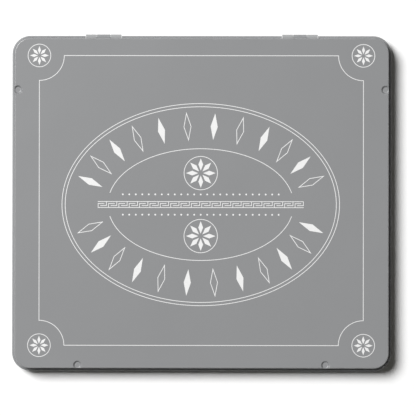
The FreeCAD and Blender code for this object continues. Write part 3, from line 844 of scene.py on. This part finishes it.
@dataclass
class LidPrint:
    """The white print on the lid's panel; lengths in mm, from the middle of the lid."""

    ink: ScreenInk = ScreenInk()
    ink_thickness: float = 0.02
    line: float = 0.36
    frame_middle: Point = (-0.2, 1.54)
    frame_half: Point = (91.1, 81.44)
    frame_corner: float = 14.0
    frame_steps: int = 24
    band_middle: Point = (-0.48, -0.76)
    key_count: int = 20
    key_cells: int = 5
    hook_cells: int = 3
    band_rows: int = 3
    key_step: float = 1.165
    key_rise: float = 1.115
    oval_half: Point = (78.0, 56.8)
    oval_gap: float = 1.8
    oval_steps: int = 180
    wreath_half: Point = (64.9, 44.1)
    wreath_count: int = 24
    wreath_sweep: float = 146.0
    wreath_lozenge: Point = (7.5, 2.0)
    inner_half: Point = (52.2, 31.4)
    inner_sweep: float = 156.0
    inner_steps: int = 72
    pearl_radius: float = 0.5
    pearl_sides: int = 16
    pearl_step: float = 3.65
    pearl_count: int = 25
    pearl_rise: float = 5.7
    rosette_rise: float = 17.7
    rosette_reach: float = 8.3
    corner_reach: float = 5.3
    ring_gap: float = 1.08
    ring_steps: int = 72
    petal_count: int = 8
    petal_middle: float = 0.58
    petal_half: Point = (0.42, 0.16)

    def build(self) -> None:
        """Print every motif on the lid."""
        material = self.ink.material("white_ink")
        panel_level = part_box("lid_shell")[1].z / MM
        for name, draw in (
            ("lid_print_frame", self.draw_frame),
            ("lid_print_key_band", self.draw_key_band),
            ("lid_print_ovals", self.draw_ovals),
            ("lid_print_wreath", self.draw_wreath),
            ("lid_print_pearls", self.draw_pearls),
            ("lid_print_rosettes", self.draw_rosettes),
        ):
            layer = InkLayer(panel_level, self.ink_thickness)
            draw(layer)
            layer.piece(name, material)

    def draw_frame(self, layer: InkLayer) -> None:
        """Draw the ruled frame with its hollow corners.

        Args:
            layer: the ink to draw with.
        """
        path = []
        for turn, (side_x, side_y) in enumerate(((1, 1), (-1, 1), (-1, -1), (1, -1))):
            start = (3 + turn) * QUARTER_TURN
            radii = (self.frame_corner, self.frame_corner)
            centre = self.frame_point(side_x, side_y)
            path += arc(centre, radii, start, start - QUARTER_TURN, self.frame_steps)
        layer.stroke(path, self.line, closed=True)

    def frame_point(self, side_x: int, side_y: int) -> Point:
        """Find a corner of the frame.

        Args:
            side_x: 1 for the right, -1 for the left.
            side_y: 1 for the back, -1 for the front.

        Returns:
            The corner.
        """
        x = self.frame_middle[0] + side_x * self.frame_half[0]
        y = self.frame_middle[1] + side_y * self.frame_half[1]
        return x, y

    def draw_key_band(self, layer: InkLayer) -> None:
        """Draw the key band: two rails with hooks that reach into each other.

        Args:
            layer: the ink to draw with.
        """
        length = (self.key_cells * self.key_count - 1) * self.key_step
        hook = self.hook_cells * self.key_step
        half = self.line / 2
        left = self.band_middle[0] - length / 2
        low = self.band_middle[1] - self.band_rows * self.key_rise / 2
        high = low + self.band_rows * self.key_rise
        lower = low + self.key_rise
        upper = high - self.key_rise
        for level in (low, high):
            layer.stroke([(left - half, level), (left + length + half, level)], self.line)
        for index in range(self.key_count):
            foot = left + self.key_cells * index * self.key_step
            top = foot + (self.key_cells - 1) * self.key_step
            layer.stroke([(foot, low + half), (foot, upper), (foot + hook, upper)], self.line)
            layer.stroke([(top, high - half), (top, lower), (top - hook, lower)], self.line)

    def draw_ovals(self, layer: InkLayer) -> None:
        """Draw the two outer ovals and the two inner arches.

        Args:
            layer: the ink to draw with.
        """
        for inset in (0.0, self.oval_gap):
            radii = (self.oval_half[0] - inset, self.oval_half[1] - inset)
            path = ellipse(self.band_middle, radii, self.oval_steps)
            layer.stroke(path, self.line, closed=True)
        for middle in UP_AND_DOWN:
            start = middle - self.inner_sweep / 2
            end = start + self.inner_sweep
            path = arc(self.band_middle, self.inner_half, start, end, self.inner_steps)
            layer.stroke(path, self.line)

    def draw_wreath(self, layer: InkLayer) -> None:
        """Draw one lozenge for each pencil, half of them over the key band and half under it.

        Args:
            layer: the ink to draw with.
        """
        half_count = self.wreath_count // 2
        for middle in UP_AND_DOWN:
            for index in range(half_count):
                turn = middle + self.wreath_sweep * (index / (half_count - 1) - 0.5)
                across_x = math.cos(math.radians(turn)) / self.wreath_half[0]
                across_y = math.sin(math.radians(turn)) / self.wreath_half[1]
                tilt = math.degrees(math.atan2(across_y, across_x))
                centre = ellipse_point(self.band_middle, self.wreath_half, turn)
                drawing = Drawing.SOLID if index % 2 else Drawing.OUTLINE
                layer.lozenge(centre, tilt, self.wreath_lozenge, drawing, self.line)

    def draw_pearls(self, layer: InkLayer) -> None:
        """Draw a row of pearls over the key band and one under it.

        Args:
            layer: the ink to draw with.
        """
        radii = (self.pearl_radius, self.pearl_radius)
        half_length = (self.pearl_count - 1) * self.pearl_step / 2
        for side in (1, -1):
            for index in range(self.pearl_count):
                x = self.band_middle[0] + index * self.pearl_step - half_length
                y = self.band_middle[1] + side * self.pearl_rise
                layer.fill(ellipse((x, y), radii, self.pearl_sides))

    def draw_rosettes(self, layer: InkLayer) -> None:
        """Draw the two rosettes beside the key band and one in each corner of the frame.

        Args:
            layer: the ink to draw with.
        """
        for side in (1, -1):
            centre = (self.band_middle[0], self.band_middle[1] + side * self.rosette_rise)
            self.draw_rosette(layer, centre, self.rosette_reach)
            for end in (1, -1):
                self.draw_rosette(layer, self.frame_point(end, side), self.corner_reach)

    def draw_rosette(self, layer: InkLayer, centre: Point, reach: float) -> None:
        """Draw a ring of petals in a circle.

        Args:
            layer: the ink to draw with.
            centre: its middle.
            reach: how far its petals reach.
        """
        ring = reach + self.ring_gap
        path = ellipse(centre, (ring, ring), self.ring_steps)
        layer.stroke(path, self.line, closed=True)
        petal_ring = (self.petal_middle * reach, self.petal_middle * reach)
        petal = (self.petal_half[0] * reach, self.petal_half[1] * reach)
        for index in range(self.petal_count):
            turn = FULL_TURN * index / self.petal_count
            middle = ellipse_point(centre, petal_ring, turn)
            layer.lozenge(middle, turn, petal, Drawing.SOLID, self.line)


@dataclass
class Tin:
    """The lid, the base and the hinges between them; lengths in mm."""

    bead_reach: float = 1.7
    lid_corner: float = 8.5
    base_corner: float = 7.85
    # Painted highlight: a lighter copy of the base enamel stands in for the light the hinge
    # knuckles catch
    hinge_enamel_painted_highlight: Colour = (0.34, 0.345, 0.35)
    pin: DrawnWire = DrawnWire((0.48, 0.48, 0.48), 0.22, (0.08, 9.0, 9.0))

    def dress(self) -> None:
        """Give the pressed shells and the hinges their finishes."""
        bead_half = -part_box("lid_shell")[0] / MM
        skirt_half = (bead_half.x - self.bead_reach, bead_half.y - self.bead_reach)
        lid = PaintedTin(*skirt_half, self.lid_corner, Facing.UP)
        dress("lid_shell", lid.material("lid_enamel"))
        base_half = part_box("base_shell")[1] / MM
        base = PaintedTin(base_half.x, base_half.y, self.base_corner, Facing.DOWN)
        dress("base_shell", base.material("base_enamel"))
        # The hinge leaves take the base finish made lighter, a painted highlight
        hinge = replace(base, enamel=self.hinge_enamel_painted_highlight).material("hinge_enamel_painted_highlight")
        pin = self.pin.material("pin_wire")
        for side in ("left", "right"):
            dress(f"{side}_hinge_leaf", hinge)
            dress(f"{side}_hinge_pin", pin)


@dataclass
class PencilRow:
    """The tray and the pencils in it; lengths in mm."""

    count: int = 24
    tray: MouldedPlastic = MouldedPlastic()

    def dress(self) -> None:
        """Give the tray, the casings and the cores their finishes."""
        dress("insert_tray", self.tray.material("tray_plastic"))
        colours = record_colours()
        for number in range(1, self.count + 1):
            self.dress_pencil(f"pencil_{number:02d}", colours)

    def dress_pencil(self, name: str, colours: dict[str, Colour]) -> None:
        """Give one pencil its lacquer and its core.

        Args:
            name: the start of its nodes' names.
            colours: each node's colour in the record.
        """
        casing = f"{name}_casing"
        core = f"{name}_core"
        low, high = (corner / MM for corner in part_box(casing))
        lacquer = PencilLacquer(colours[casing], (low.x + high.x) / 2, low.y)
        dress(casing, lacquer.material(f"{name}_lacquer"))
        dress(core, PencilCore(colours[core]).material(f"{name}_pigment"))


@dataclass
class Studio:
    """White paper, a large soft lamp and a distant camera over the object; lengths in m."""

    paper: StudioPaper = StudioPaper()
    paper_sides: int = 96
    paper_radius: float = 6.0
    paper_drop: float = 0.00005
    ambient: float = 0.048
    ambient_tint: Colour = (1.0, 0.98, 0.86)
    lamp_place: Vector = Vector((-1.9, 1.45, 3.5))
    lamp_size: float = 2.0
    lamp_power: float = 231.0
    camera_distance: float = 1.6
    camera_lean: Point = (0.004, -0.0075)
    camera_aim: Point = (0.00361, -0.00267)
    camera_roll: float = 0.08
    view_width: float = 0.2338

    def build(self) -> None:
        """Set up the floor, the world, the lamp and the camera."""
        self.build_floor()
        self.build_world()
        self.build_lamp()
        self.build_camera()
        bpy.context.scene.view_settings.view_transform = "Standard"

    def build_floor(self) -> None:
        """Lay the paper under the object."""
        mesh = bpy.data.meshes.new("paper")
        disc = bmesh.new()
        bmesh.ops.create_circle(
            disc, cap_ends=True, segments=self.paper_sides, radius=self.paper_radius
        )
        disc.to_mesh(mesh)
        disc.free()
        mesh.materials.append(self.paper.material("studio_paper"))
        floor = bpy.data.objects.new("paper", mesh)
        floor.location.z = -self.paper_drop
        bpy.context.scene.collection.objects.link(floor)

    def build_world(self) -> None:
        """Make the surroundings white to look at and weak as a light."""
        world = bpy.data.worlds.new("studio")
        world.use_nodes = True
        bpy.context.scene.world = world
        graph = Graph(world.node_tree)
        seen = background_rays(graph)
        light = {
            "Color": graph.mixed(seen, self.ambient_tint, WHITE),
            "Strength": seen.most(self.ambient),
        }
        shader = graph.node("ShaderNodeBackground", None, light)
        graph.node("ShaderNodeOutputWorld", None, {"Surface": shader})

    def build_lamp(self) -> None:
        """Hang the soft lamp behind the object and to its left."""
        light = bpy.data.lights.new("soft_box", "AREA")
        light.shape = "DISK"
        light.size = self.lamp_size
        light.energy = self.lamp_power
        lamp = bpy.data.objects.new("soft_box", light)
        lamp.location = self.lamp_place
        lamp.rotation_euler = (-self.lamp_place).to_track_quat("-Z", "Y").to_euler()
        bpy.context.scene.collection.objects.link(lamp)

    def build_camera(self) -> None:
        """Put the camera above the lid, leaning and turned as in the photograph."""
        data = bpy.data.cameras.new("camera")
        data.lens = data.sensor_width * self.camera_distance / self.view_width
        backward = Vector((*self.camera_lean, 1.0)).normalized()
        right = Vector((0.0, 1.0, 0.0)).cross(backward).normalized()
        axes = Matrix((right, backward.cross(right), backward)).transposed()
        roll = Matrix.Rotation(math.radians(self.camera_roll), 3, "Z")
        camera = bpy.data.objects.new("camera", data)
        camera.location = Vector((*self.camera_aim, CAD_BOX[1].z)) + backward * self.camera_distance
        camera.rotation_euler = (axes @ roll).to_euler()
        bpy.context.scene.collection.objects.link(camera)
        bpy.context.scene.camera = camera


def main() -> None:
    """Dress the tin and its pencils, print the lid and set up the studio."""
    logging.basicConfig(level=logging.INFO, format="%(name)s: %(message)s")
    Tin().dress()
    PencilRow().dress()
    LidPrint().build()
    Studio().build()


if __name__ == "__main__":
    main()
